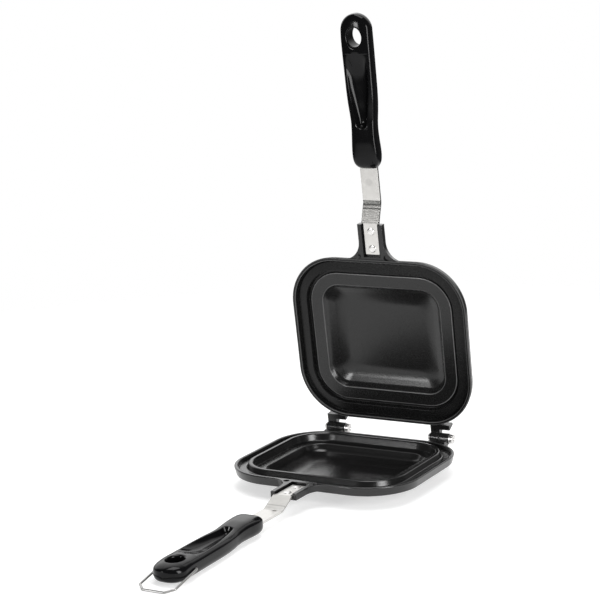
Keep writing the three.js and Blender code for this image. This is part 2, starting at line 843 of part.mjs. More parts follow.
const sandwichPress = new THREE.Group();
sandwichPress.add(lowerHalf, upperHalf);

export default sandwichPress;
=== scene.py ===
import json
import math

import bmesh
import bpy
from mathutils import Matrix, Vector


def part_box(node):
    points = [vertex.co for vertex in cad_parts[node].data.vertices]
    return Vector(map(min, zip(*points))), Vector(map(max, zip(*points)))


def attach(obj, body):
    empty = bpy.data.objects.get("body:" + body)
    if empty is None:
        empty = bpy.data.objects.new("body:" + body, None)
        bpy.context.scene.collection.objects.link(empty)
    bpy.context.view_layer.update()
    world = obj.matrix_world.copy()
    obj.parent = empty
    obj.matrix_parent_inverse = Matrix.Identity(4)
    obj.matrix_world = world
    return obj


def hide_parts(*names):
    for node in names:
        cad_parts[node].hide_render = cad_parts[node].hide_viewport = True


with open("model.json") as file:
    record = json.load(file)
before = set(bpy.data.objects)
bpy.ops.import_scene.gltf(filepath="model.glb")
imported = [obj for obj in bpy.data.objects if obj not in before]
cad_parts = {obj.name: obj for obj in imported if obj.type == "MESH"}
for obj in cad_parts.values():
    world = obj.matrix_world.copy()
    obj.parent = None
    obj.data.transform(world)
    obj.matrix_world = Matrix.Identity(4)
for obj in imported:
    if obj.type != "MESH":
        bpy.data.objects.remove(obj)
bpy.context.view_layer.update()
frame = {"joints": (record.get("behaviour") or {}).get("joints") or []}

# The two pans. Each is one die casting in aluminium with a satin dark grey non-stick coat that shows the
# blasted grain of the metal. The lower one has a raised ridge that presses the crusts shut. The upper one
# is the same form turned over, with a groove that the ridge comes up into.

# Every piece of a half is made lying flat, with the parting plane at height 0 through the hinge axis and
# the pan below it. It is then carried to its half's place: the upper one is turned over and stands open.
lid_hinge, latch_swing = frame["joints"]
hinge_y, parting_height = lid_hinge["pos_m"][1:]
open_angle = math.radians(-lid_hinge["range_deg"][0])
half_places = {
    "lower": Matrix.Translation((0, 0, parting_height)),
    "upper": (
        Matrix.Translation((0, hinge_y, parting_height))
        @ Matrix.Rotation(-open_angle, 4, "X")
        @ Matrix.Translation((0, -hinge_y, 0))
        @ Matrix.Rotation(math.pi, 4, "Y")
    ),
}

hinge_overhang = 0.0097
pan_half_width = 0.078
pan_half_depth = hinge_y - hinge_overhang
pan_corner = 0.0418
straight_x = pan_half_width - pan_corner
straight_y = pan_half_depth - pan_corner
corner_steps = 22
edge_round = 0.001
fine_round = 0.0005
lip_gap = 0.0002
lip_width = 0.0029
lip_draft = 0.0005
lip_round = 0.0007
foot_groove = 0.0008
foot_width = 0.0018
foot_round = 0.0003
flange_depth = 0.003
flange_falls = {"lower": 0.0, "upper": 0.0009}
flange_under = 0.0058
rim_depth = 0.0075
rim_thickness = 0.0044
rim_draft = 0.0019
rim_root_round = 0.0008
ridge_inset = 0.0135
ridge_height = 0.0016
ridge_crest = 0.003
ridge_foot = 0.007
crest_round = 0.0013
groove_width = 0.003
groove_depth = 0.0073
groove_draft = 0.0005
groove_lip = 0.0003
groove_lip_round = 0.0009
ledge_depths = {"lower": 0.0042, "upper": 0.006}
cavity_inset = 0.0252
cavity_edge_round = 0.0011
knee_run = 0.0026
knee_depth = 0.0095
knee_round = 0.006
cavity_run = 0.0125
cavity_depth = 0.014
cavity_round = 0.03
floor_run = 0.0062
pan_wall = 0.0026
outer_wall_run = 0.0062
outer_round = 0.002
outer_step_draft = 0.0008
base_depth = parting_height
base_round = 0.0115
base_margin = 0.0006
hair = 1e-6


def verts_in(parts):
    return [part for part in parts if isinstance(part, bmesh.types.BMVert)]


def edges_in(parts):
    return [part for part in parts if isinstance(part, bmesh.types.BMEdge)]


def line_of(bm, points):
    """A line of edges through the points."""
    verts = [bm.verts.new(point) for point in points]
    return verts, [bm.edges.new(pair) for pair in zip(verts, verts[1:])]


def round_corner(bm, vert, reach, segments):
    """Rounds one corner of a line or a flat outline, starting at this reach from it."""
    bmesh.ops.bevel(
        bm, geom=[vert], offset=reach, offset_type="OFFSET", segments=segments, profile=0.5,
        affect="VERTICES", material=-1,
    )


def pan_section(bm, corners, edge_room=0.499, last_room=0.95, wide=0.003, steps=5):
    """The section line through the corners (inset, height, radius), each rounded as far as there is room."""
    points = [Vector((pan_half_width - inset, 0, height)) for inset, height, radius in corners]
    verts, edges = line_of(bm, points)
    for i in range(1, len(corners) - 1):
        radius = corners[i][2]
        back, ahead = points[i - 1] - points[i], points[i + 1] - points[i]
        room_ahead = ahead.length * (last_room if i == len(corners) - 2 else edge_room)
        reach = min(radius / math.tan(back.angle(ahead) / 2), edge_room * back.length, room_ahead)
        round_corner(bm, verts[i], reach, steps if radius < wide else 2 * steps)


def carry_round(bm):
    """Sweeps the section round the pan's outline: pushed along each side, spun round each corner."""
    bmesh.ops.translate(bm, verts=bm.verts, vec=(0, -straight_y, 0))
    edges = bm.edges[:]
    for quarter in range(4):
        turn = Matrix.Rotation(quarter * math.pi / 2, 3, "Z")
        across, along = (straight_x, straight_y) if quarter % 2 == 0 else (straight_y, straight_x)
        grown = bmesh.ops.extrude_edge_only(bm, edges=edges)["geom"]
        bmesh.ops.translate(bm, verts=verts_in(grown), vec=turn @ Vector((0, 2 * along, 0)))
        spun = bmesh.ops.spin(
            bm, geom=verts_in(grown) + edges_in(grown), cent=turn @ Vector((across, along, 0)),
            axis=(0, 0, 1), angle=math.pi / 2, steps=corner_steps,
        )
        edges = edges_in(spun["geom_last"])
    bmesh.ops.remove_doubles(bm, verts=bm.verts, dist=hair)


def ease_corners(bm):
    """Widens the hollow's corner rounds, more towards its middle, so that its floor keeps round corners."""
    start = pan_corner - cavity_inset
    for vert in bm.verts:
        out = Vector((abs(vert.co.x) - straight_x, abs(vert.co.y) - straight_y))
        radius = math.copysign(out.length, out.x + out.y)
        if abs(radius) > hair / 10 and radius < start:
            wider = (start - radius) ** 2 / (2 * start)
            vert.co.x += math.copysign(wider, vert.co.x) * (out.x / radius - 1)
            vert.co.y += math.copysign(wider, vert.co.y) * (out.y / radius - 1)


def close_flat(bm, margin):
    """Fills the open loops, and sets each flat face in a little, so that its shading stays flat."""
    rim = [edge for edge in bm.edges if edge.is_boundary]
    for face in bmesh.ops.holes_fill(bm, edges=rim, sides=0)["faces"]:
        bmesh.ops.inset_region(bm, faces=[face], thickness=margin, use_even_offset=False)


def dish_form(half):
    """The dish of one pan: base, outer wall, rim, lip, flange, ridge or groove, ledge and cavity."""
    ledge_depth = ledge_depths[half]
    ledge_under = ledge_depth + pan_wall
    flange_foot = flange_depth + flange_falls[half]
    ridge_start, ridge_end = ridge_inset - ridge_foot / 2, ridge_inset + ridge_foot / 2
    groove_start, groove_end = ridge_inset - groove_width / 2, ridge_inset + groove_width / 2
    run = Vector((outer_wall_run, ledge_depth - cavity_depth))
    wall = Vector((run.y, -run.x)).normalized() * pan_wall

    def outer_inset(depth):
        down = (depth + wall.y - ledge_depth) / (cavity_depth - ledge_depth)
        return cavity_inset + wall.x + down * outer_wall_run

    seals = {
        "lower": [
            (ridge_start, -flange_depth, edge_round),
            (ridge_inset - ridge_crest / 2, ridge_height, crest_round),
            (ridge_inset + ridge_crest / 2, ridge_height, crest_round),
            (ridge_end, -ledge_depth, edge_round),
        ],
        "upper": [
            (groove_start, -flange_depth, fine_round),
            (groove_start + groove_draft, -groove_depth, fine_round),
            (groove_end - groove_draft, -groove_depth, fine_round),
            (groove_end, -ledge_depth + groove_lip, groove_lip_round),
        ],
    }
    bm = bmesh.new()
    pan_section(bm, [
        (outer_inset(base_depth) + base_round, -base_depth, 0),
        (outer_inset(base_depth), -base_depth, base_round),
        (outer_inset(ledge_under), -ledge_under, outer_round),
        (ridge_start + outer_step_draft, -ledge_under, edge_round),
        (ridge_start, -flange_under, edge_round),
        (rim_thickness, -flange_under, rim_root_round),
        (rim_thickness, -rim_depth, fine_round),
        (rim_draft, -rim_depth, edge_round),
        (0, -lip_gap, edge_round),
        (lip_width, -lip_gap, lip_round),
        (lip_width + lip_draft, -flange_foot - foot_groove, foot_round),
        (lip_width + foot_width, -flange_foot, fine_round),
        *seals[half],
        (cavity_inset, -ledge_depth, cavity_edge_round),
        (cavity_inset + knee_run, -knee_depth, knee_round),
        (cavity_inset + cavity_run, -cavity_depth, cavity_round),
        (cavity_inset + cavity_run + floor_run, -cavity_depth, 0),
    ])
    carry_round(bm)
    ease_corners(bm)
    close_flat(bm, base_margin)
    return bm


def as_object(bm, name="tool"):
    """An object of the form, with its faces turned outwards."""
    bmesh.ops.recalc_face_normals(bm, faces=bm.faces)
    mesh = bpy.data.meshes.new(name)
    bm.to_mesh(mesh)
    bm.free()
    made = bpy.data.objects.new(name, mesh)
    bpy.context.scene.collection.objects.link(made)
    return made


def work(body, tool_form, operation):
    """Joins the tool's solid to the body's, or cuts it away."""
    tool = as_object(tool_form)
    step = body.modifiers.new("step", "BOOLEAN")
    step.operation = operation
    step.solver = "EXACT"
    step.object = tool
    bpy.context.view_layer.update()
    worked = body.evaluated_get(bpy.context.evaluated_depsgraph_get())
    mesh = bpy.data.meshes.new_from_object(worked)
    body.modifiers.clear()
    body.data = mesh
    bpy.data.objects.remove(tool)


def form_of(body):
    """The worked body as an editable form again."""
    bm = bmesh.new()
    bm.from_mesh(body.data)
    bpy.data.objects.remove(body)
    bmesh.ops.remove_doubles(bm, verts=bm.verts, dist=2 * hair)
    bmesh.ops.dissolve_degenerate(bm, edges=bm.edges, dist=2 * hair)
    return bm


def plate_form(outline, direction, corner_rounds=(), segments=14):
    """A plate pushed from a flat outline; (corner number, radius) pairs round its corners first."""
    bm = bmesh.new()
    verts = [bm.verts.new(point) for point in outline]
    bm.faces.new(verts)
    for number, radius in corner_rounds:
        round_corner(bm, verts[number], radius, segments)
    grown = bmesh.ops.extrude_face_region(bm, geom=bm.faces[:])["geom"]
    bmesh.ops.translate(bm, verts=verts_in(grown), vec=direction)
    bmesh.ops.recalc_face_normals(bm, faces=bm.faces)
    return bm


def rod_form(radius, start, end, segments=32):
    """A plain round rod from start to end."""
    bm = bmesh.new()
    axis = Vector(end) - Vector(start)
    middle = (Vector(start) + Vector(end)) / 2
    bmesh.ops.create_cone(
        bm, cap_ends=True, segments=segments, radius1=radius, radius2=radius, depth=axis.length,
        matrix=Matrix.Translation(middle) @ axis.to_track_quat("Z", "Y").to_matrix().to_4x4(),
    )
    return bm


def soften(bm, edges, radius, segments=3):
    """Rounds the given edges."""
    bmesh.ops.bevel(
        bm, geom=edges, offset=radius, offset_type="OFFSET", segments=segments, profile=0.5,
        affect="EDGES", clamp_overlap=True, material=-1,
    )


def level_edges(bm, axis):
    """The edges that run square to an axis, numbered 0 to 2."""
    return [e for e in bm.edges if abs(e.verts[0].co[axis] - e.verts[1].co[axis]) < hair / 10]


# At the front of each pan a flared socket has a channel for the bracket's tongue. Beside it a small peg
# fits the other pan's pocket.
socket_end_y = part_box("lower_pan")[0].y
socket_half = 0.0109
socket_depth = 0.0055
socket_flare = 0.015
socket_land = 0.0004
socket_root = 0.0018
socket_lean = 0.0014
socket_round = 0.0006
channel_half = 0.0075
channel_end_y = -pan_half_depth - 0.002
channel_depth = 0.0041
peg_x = 0.0125
peg_y = channel_end_y
peg_radius = 0.0019
peg_height = 0.0012
pocket_clearance = 0.0005
pocket_depth = 0.0017
overrun = 0.001


def socket_form():
    """The boss, flared into the rim on both sides; its underside follows the rim's draft inwards."""
    front = -pan_half_depth + socket_round
    reach = socket_half + socket_flare + socket_land
    right_side = [
        (socket_half, socket_end_y, -lip_gap),
        (socket_half, front, -lip_gap),
        (reach, front, -lip_gap),
        (reach, front + socket_root, -lip_gap),
    ]
    outline = right_side + [(-x, y, z) for x, y, z in reversed(right_side)]
    flares = [(1, socket_flare), (len(outline) - 2, socket_flare)]
    bm = plate_form(outline, (0, 0, lip_gap - socket_depth), flares)
    for vert in bm.verts:
        if vert.co.z < -2 * lip_gap:
            vert.co.y += socket_lean * (vert.co.y - socket_end_y) / (front - socket_end_y)
    soften(bm, level_edges(bm, 2), socket_round)
    return bm


def channel_form():
    outline = [
        (-channel_half, socket_end_y - overrun, overrun),
        (channel_half, socket_end_y - overrun, overrun),
        (channel_half, channel_end_y, overrun),
        (-channel_half, channel_end_y, overrun),
    ]
    return plate_form(outline, (0, 0, -channel_depth - overrun))


def peg_form():
    bm = rod_form(peg_radius, (peg_x, peg_y, -flange_depth), (peg_x, peg_y, peg_height))
    soften(bm, [e for e in bm.edges if min(v.co.z for v in e.verts) > 0], fine_round)
    return bm


def pocket_form():
    return rod_form(peg_radius + pocket_clearance, (-peg_x, peg_y, -pocket_depth), (-peg_x, peg_y, overrun))


# At the back each pan has two hinges, each with a lug and one knuckle on an arm. The other pan's knuckle
# lies beside it, and both are bored for the pin.
hinge_x = 0.0472
hinge_shift = 0.0012
meeting_shift = 0.002
lug_left, lug_right = 0.0083, 0.0067
knuckle_reach = 0.0081
knuckle_gap = 0.0002
knuckle_radius = 0.0043
knuckle_round = 0.0004
pin_radius = 0.0022
pin_clearance = 0.0003
hinge_root_y = pan_half_depth - 0.0015
lug_end_y = hinge_y - 0.0069
lug_cut = 0.0024
lug_face = 0.0015
arm_land = 0.0005
arm_foot = 0.0024
arm_angle = math.radians(112.5)


def hinge_spans(side):
    """Where a hinge's lug and its two knuckles lie along X."""
    centre = side * hinge_x + hinge_shift
    meet = centre - meeting_shift
    return {
        "lug": (centre - lug_left, centre + lug_right),
        "upper": (meet - knuckle_reach, meet - knuckle_gap),
        "lower": (meet + knuckle_gap, meet + knuckle_reach),
    }


def lug_form(span):
    """The block on the rim that a knuckle's arm comes out of, with its lower outer corner cut off."""
    outline = [
        (span[0], hinge_root_y, -lip_gap),
        (span[0], hinge_root_y, -rim_depth),
        (span[0], lug_end_y - lug_cut, -rim_depth),
        (span[0], lug_end_y, -lip_gap - lug_face),
        (span[0], lug_end_y, -lip_gap),
    ]
    bm = plate_form(outline, (span[1] - span[0], 0, 0))
    soften(bm, [e for e in bm.edges if max(v.co.y for v in e.verts) > hinge_root_y + hair], knuckle_round)
    return bm


def arm_form(span):
    """The arm that carries a knuckle out from the rim."""
    rise, back = knuckle_radius * math.sin(arm_angle), knuckle_radius * math.cos(arm_angle)
    outline = [
        (span[0], hinge_root_y, -lip_gap),
        (span[0], hinge_y - arm_land, -lip_gap),
        (span[0], hinge_y + back, -rise),
        (span[0], pan_half_depth + arm_foot, -rim_depth),
        (span[0], hinge_root_y, -rim_depth),
    ]
    return plate_form(outline, (span[1] - span[0], 0, 0))


def knuckle_form(span):
    bm = rod_form(knuckle_radius, (span[0], hinge_y, 0), (span[1], hinge_y, 0), 40)
    soften(bm, level_edges(bm, 0), knuckle_round)
    return bm


def bore_form(span):
    ends = [(x, hinge_y, 0) for x in (span[0] - overrun, span[1] + overrun)]
    return rod_form(pin_radius + pin_clearance, *ends)


class Signal:
    """A shader socket that works in expressions; each step of an expression adds its Math node."""

    def __init__(self, paint, socket):
        self.paint = paint
        self.socket = socket

    def math(self, operation, first, second=0.0):
        return self.paint.node("ShaderNodeMath", {"operation": operation}, {0: first, 1: second})

    def __add__(self, other):
        return self.math("ADD", self, other)

    __radd__ = __add__

    def __sub__(self, other):
        return self.math("SUBTRACT", self, other)

    def __rsub__(self, other):
        return self.math("SUBTRACT", other, self)

    def __mul__(self, other):
        return self.math("MULTIPLY", self, other)

    __rmul__ = __mul__

    def __abs__(self):
        return self.math("ABSOLUTE", self)

    def at_least(self, other):
        return self.math("MAXIMUM", self, other)

    def at_most(self, other):
        return self.math("MINIMUM", self, other)


class Paint:
    """The nodes of a material or world: even values are set by name, and patterns are added as nodes."""

    def __init__(self, owner, values, shader="Principled BSDF"):
        owner.use_nodes = True
        self.owner = owner
        self.tree = owner.node_tree
        self.shader = self.tree.nodes[shader]
        for socket, value in values.items():
            self.shader.inputs[socket].default_value = value

    def node(self, kind, settings, sockets, output=0):
        made = self.tree.nodes.new(kind)
        for setting, value in settings.items():
            setattr(made, setting, value)
        for socket, value in sockets.items():
            self.feed(made.inputs[socket], value)
        return Signal(self, made.outputs[output])

    def feed(self, socket, value):
        if isinstance(value, Signal):
            self.tree.links.new(value.socket, socket)
        else:
            socket.default_value = value

    def vary(self, socket, signal):
        """Lets a signal drive one socket of the shader."""
        self.feed(self.shader.inputs[socket], signal)

    def place(self, scale=1.0, stretch=(1, 1, 1)):
        """Object coordinates, in metres times a scale that can differ along each axis."""
        coordinates = self.node("ShaderNodeTexCoord", {}, {}, "Object")
        size = tuple(scale * share for share in stretch)
        return self.node("ShaderNodeMapping", {}, {"Vector": coordinates, "Scale": size})

    def noise(self, where, detail=2.0, roughness=0.5):
        sockets = {"Vector": where, "Scale": 1.0, "Detail": detail, "Roughness": roughness}
        return self.node("ShaderNodeTexNoise", {}, sockets)

    def length(self, vector):
        return self.node("ShaderNodeVectorMath", {"operation": "LENGTH"}, {0: vector}, "Value")

    def dot(self, first, second):
        sockets = {0: first, 1: second}
        return self.node("ShaderNodeVectorMath", {"operation": "DOT_PRODUCT"}, sockets, "Value")

    def ramp(self, signal, low, high):
        """0 below the low value and 1 above the high one, eased between them."""
        sockets = {"Value": signal, "From Min": low, "From Max": high}
        return self.node("ShaderNodeMapRange", {"interpolation_type": "SMOOTHSTEP"}, sockets)

    def band(self, signal, start, full, fading, end):
        """1 between the two inner values, eased to 0 at the outer ones."""
        return self.ramp(signal, start, full) * (1 - self.ramp(signal, fading, end))

    def mixed(self, factor, first, second):
        """A colour between two. A Mix node has its colours at inputs 6 and 7, and gives one at output 2."""
        first, second = [(*colour, 1) if isinstance(colour, tuple) else colour for colour in (first, second)]
        return self.node("ShaderNodeMix", {"data_type": "RGBA"}, {0: factor, 6: first, 7: second}, 2)

    def bump(self, height, distance):
        sockets = {"Height": height, "Distance": distance}
        self.vary("Normal", self.node("ShaderNodeBump", {}, sockets, "Normal"))


coat_dark, coat_light = (0.004, 0.004, 0.004), (0.011, 0.011, 0.011)
# The greys of the painted highlight lines along the pans' top edges, stronger on the upper pan.
edge_highlight_greys = {"lower": (0.05, 0.05, 0.05), "upper": (0.14, 0.14, 0.14)}
coat_speculars = {"lower": 0.5, "upper": 0.2}
coat_roughnesses = {"lower": 0.12, "upper": 0.17}
highlight_line_width = 0.0006
highlight_top_heights = (0.0018, 0.0008)
lip_highlight_heights = (0.0014, 0.0008)
lip_lines = (0.0008, lip_width - 0.0002)
groove_line = ridge_inset + groove_width / 2 + 0.0003
glossy_insets = (0.0145, 0.0153)
rim_fade = 0.001


def coat_paint(half):
    """The coat over the blasted grain, with painted highlights as lighter lines along its top edges, and on
    the upper pan glossier inside the seal and outside the rim."""
    coat = Paint(
        bpy.data.materials.new(f"{half}_nonstick_coat"),
        {"Specular IOR Level": coat_speculars[half], "Coat Roughness": 0.22},
    )
    back = half_places[half].inverted()
    lying = coat.node("ShaderNodeMapping", {}, {
        "Vector": coat.node("ShaderNodeTexCoord", {}, {}, "Object"),
        "Location": tuple(back.to_translation()),
        "Rotation": tuple(back.to_euler()),
    })
    x, y, height = (coat.node("ShaderNodeSeparateXYZ", {}, {0: lying}, axis) for axis in "XYZ")
    past_x, past_y = abs(x) - straight_x, abs(y) - straight_y
    past_corner = coat.node(
        "ShaderNodeCombineXYZ", {}, {"X": past_x.at_least(0.0), "Y": past_y.at_least(0.0)},
    )
    inset = pan_corner - coat.length(past_corner) - past_x.at_least(past_y).at_most(0.0)
    grain = coat.noise(coat.place(1500), detail=4.0, roughness=0.65)
    mottle = coat.noise(coat.place(38), detail=3.0)

    def edge_line(at):
        return coat.band(inset, at - highlight_line_width, at, at, at + highlight_line_width)

    on_top = coat.ramp(height, *(-ledge_depths[half] - below for below in highlight_top_heights))
    on_lip = coat.ramp(height, *(-below for below in lip_highlight_heights))
    # Painted highlights: lighter lines along the lip's two edges and the cavity's edge, and on the upper pan
    # along the groove's inner edge, on the top faces only.
    lip_highlights = 0.45 * edge_line(lip_lines[0]) + 0.6 * edge_line(lip_lines[1])
    painted_highlights = 0.6 * edge_line(cavity_inset) + on_lip * lip_highlights
    if half == "upper":
        painted_highlights = painted_highlights + edge_line(groove_line)
        inside_seal = coat.ramp(inset, *glossy_insets)
        outside_rim = 1 - coat.ramp(inset, -rim_fade, 0.0)
        coat.vary("Coat Weight", 0.42 * inside_seal + 0.5 * outside_rim)
    blasted = coat.mixed(coat.ramp(grain, 0.35, 0.75), coat_dark, coat_light)
    # Base colour: the blasted grain, with the painted highlight lines mixed in, made uneven by the mottle.
    coat.vary("Base Color", coat.mixed(painted_highlights * on_top * (0.5 + mottle), blasted, edge_highlight_greys[half]))
    coat.vary("Roughness", coat_roughnesses[half] + 0.14 * grain + 0.05 * mottle)
    coat.bump(grain, 0.00003)
    return coat.owner


true_edge_angle = math.radians(32)


def fit_piece(bm, name, place, body, material, nodes):
    """Makes a form a piece in its place, smooth but for its true edges, attaches it to its body and hides the
    parts it stands for.
    """
    bmesh.ops.transform(bm, matrix=place, verts=bm.verts)
    piece = as_object(bm, name)
    piece.data.shade_smooth()
    piece.data.set_sharp_from_angle(angle=true_edge_angle)
    piece.data.materials.append(material)
    piece.modifiers.new("flat_faces", "WEIGHTED_NORMAL").keep_sharp = True
    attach(piece, body)
    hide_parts(*nodes)


for half, facing in (("lower", 1), ("upper", -1)):
    body = as_object(dish_form(half))
    work(body, socket_form(), "UNION")
    for side in (-1, 1):
        spans = hinge_spans(side)
        lug, knuckle = [tuple(sorted((facing * a, facing * b))) for a, b in (spans["lug"], spans[half])]
        work(body, lug_form(lug), "UNION")
        work(body, arm_form(knuckle), "UNION")
        work(body, knuckle_form(knuckle), "UNION")
        work(body, bore_form(knuckle), "DIFFERENCE")
    work(body, channel_form(), "DIFFERENCE")
    work(body, peg_form(), "UNION")
    work(body, pocket_form(), "DIFFERENCE")
    fit_piece(
        form_of(body), f"{half}_pan_casting", half_places[half], f"{half}_half",
        coat_paint(half), [f"{half}_pan"],
    )


# The hinge pins. Each is a turned steel pin with a round head on the right, a small flat washer under the
# head, and a tail on the left that is peened over. The upper pan's knuckle turns on it.
head_radius = 0.0038
head_length = 0.0022
head_round = 0.0007
dimple_radius = 0.0016
dimple_slope = 0.0003
dimple_depth = 0.0004
tail_radius = 0.0032
tail_length = 0.0016
tail_round = 0.0009
washer_radius = 0.004
washer_thickness = 0.0009
washer_chamfer = 0.0002
washer_play = 0.0003
pin_steel = Paint(
    bpy.data.materials.new("turned_pin_steel"), {"Metallic": 1.0, "Base Color": (0.62, 0.61, 0.60, 1)},
)
turning = pin_steel.noise(pin_steel.place(stretch=(9000, 300, 300)), detail=1.0)
pin_steel.vary("Roughness", 0.2 + 0.18 * turning)
pin_steel.bump(turning, 0.00001)


def lathe_form(line, axis_place, axis, steps):
    """Spins a line of points a full turn round an axis."""
    bm = bmesh.new()
    verts, edges = line_of(bm, line)
    bmesh.ops.spin(
        bm, geom=verts + edges, cent=axis_place, axis=axis, angle=2 * math.pi, steps=steps, use_merge=True,
    )
    bmesh.ops.remove_doubles(bm, verts=bm.verts, dist=hair)
    return bm


def turned_form(profile):
    """A form turned round the hinge axis from its (radius, x) points."""
    return lathe_form([(x, hinge_y + radius, 0) for radius, x in profile], (0, hinge_y, 0), (1, 0, 0), 48)


def eased_edge(radius, x, edge, towards):
    """A quarter round from the side of a turned head to its end face."""
    turns = [step * math.pi / 10 for step in range(6)]
    return [
        (radius - edge + edge * math.cos(turn), x + towards * (edge * math.sin(turn) - edge))
        for turn in turns
    ]


def pin_form(tail, head):
    """The pin, whose shank reaches from tail to head along X."""
    tail_end, head_end = tail - tail_length, head + head_length
    return turned_form([
        (0, tail_end),
        *reversed(eased_edge(tail_radius, tail_end, tail_round, -1)),
        (tail_radius, tail),
        (pin_radius, tail),
        (pin_radius, head),
        (head_radius, head),
        *eased_edge(head_radius, head_end, head_round, 1),
        (dimple_radius, head_end),
        (dimple_radius - dimple_slope, head_end - dimple_depth),
        (0, head_end - dimple_depth),
    ])


def washer_form(start):
    bore, end = pin_radius + pin_clearance, start + washer_thickness
    return turned_form([
        (bore, start),
        (washer_radius - washer_chamfer, start),
        (washer_radius, start + washer_chamfer),
        (washer_radius, end - washer_chamfer),
        (washer_radius - washer_chamfer, end),
        (bore, end),
        (bore, start),
    ])


for side, hand in ((-1, "left"), (1, "right")):
    spans = hinge_spans(side)
    washer = spans["lower"][1] + washer_play
    pin = pin_form(spans["upper"][0] - washer_play, washer + washer_thickness + washer_play)
    fit_piece(
        pin, f"hinge_pin_{hand}_turned", half_places["lower"], "lower_half",
        pin_steel.owner, [f"hinge_pin_{hand}"],
    )
    fit_piece(
        washer_form(washer), f"hinge_washer_{hand}_flat", half_places["lower"], "lower_half",
        pin_steel.owner, [f"hinge_washer_{hand}"],
    )


# The brackets. Each is a strip of satin stainless steel, bent twice, with a narrow tongue that is riveted
# into the pan's socket and a tang that the handle is moulded round. The lower one has a small vent hole.
strip_half = 0.0077
strip_thickness = 0.0018
strip_round = 0.00022
tongue_half = 0.00605
tongue_depth = 0.002
tongue_end_y = channel_end_y - 0.002
tongue_shoulder_y = socket_end_y - 0.0003
tongue_round = 0.0012
jog_y = socket_end_y - 0.0013
jog_run = 0.0149
jog_rounds = (0.004, 0.007)
handle_depth = 0.0087
handle_y = -0.1444
tang_end_y = handle_y - 0.028
tang_shoulder_y = handle_y - 0.005
tang_half = 0.0055
strip_edge_angle = math.radians(50)
vent_place = (0.0024, handle_y + 0.0272)
vent_radius = 0.0016
steel_dark, steel_light = (0.5, 0.49, 0.47), (0.68, 0.67, 0.65)
# The colour of the painted shade and of the smudge.
shade_and_smudge_colour = (0.12, 0.12, 0.115)

# How dark the strip is painted along three lines, at its bend, on its jog and in a round smudge, and where
# along it from the jog's pan end these lie. All but the smudge are painted shade: a painted shadow where the
# strip leaves the socket, painted shade and a painted dark reflection at the bend, and painted shade on the
# jog.
shade_and_smudge_weights = {"lower": (0.35, 0.1, 0.15, 0.0), "upper": (0.7, 0.85, 0.35, 0.14)}
shade_line_places = (-jog_run - 0.0012, -jog_run + 0.0045, 0.0)
shade_line_band = (-0.0007, -0.0002, 0.0002, 0.0007)
bend_shade_band = (-0.0016, -0.0008, 0.0016, 0.003)
jog_band = (-jog_run - 0.001, -jog_run, -0.001, 0.001)
smudge_place = (-0.001, -jog_run - 0.0165)
smudge_radii = (0.0022, 0.004)


def strip_paint(half):
    """Satin steel, drawn along the strip, creased across it where the press bent it."""
    steel = Paint(bpy.data.materials.new(f"{half}_satin_steel"), {"Metallic": 1.0})
    forth = half_places[half].to_3x3() @ Vector((0, 1, 0))
    start = half_places[half] @ Vector((0, jog_y, 0))
    where = steel.place()
    along = steel.dot(where, forth) - start.dot(forth)
    across = steel.node("ShaderNodeSeparateXYZ", {}, {0: where}, "X")

    def on_strip(first, second):
        return steel.node("ShaderNodeCombineXYZ", {}, {"X": first, "Y": second})

    lines = steel.noise(on_strip(across * 2600, along * 90), detail=2.0)
    creases = steel.noise(on_strip(across * 120, along * 1500), detail=3.0)
    smears = steel.noise(steel.place(170), detail=3.0)
    jogged = steel.band(along, *jog_band)
    shade_lines = sum(steel.band(along, *(place + by for by in shade_line_band)) for place in shade_line_places)
    bend = steel.band(along, *(by - jog_run for by in bend_shade_band))
    from_smudge = steel.length(on_strip(across - smudge_place[0], along - smudge_place[1]))
    smudge = 1 - steel.ramp(from_smudge, *smudge_radii)
    # The painted shade of the lines, the bend and the jog, together with the smudge, darkens the strip's
    # colour.
    painted_shade_and_smudge = sum(
        weight * mark for weight, mark in zip(shade_and_smudge_weights[half], (shade_lines, bend, jogged, smudge)) if weight
    )
    # The jog is also painted a little darker here, as painted shade on its slope.
    plain = steel.mixed(smears - 0.2 * jogged + 0.25 * creases * jogged, steel_dark, steel_light)
    steel.vary("Base Color", steel.mixed(painted_shade_and_smudge, plain, shade_and_smudge_colour))
    steel.vary("Roughness", 0.2 + 0.12 * lines + 0.1 * smears + 0.1 * jogged)
    steel.bump(lines * 0.3 + creases * jogged, 0.00012)
    return steel.owner


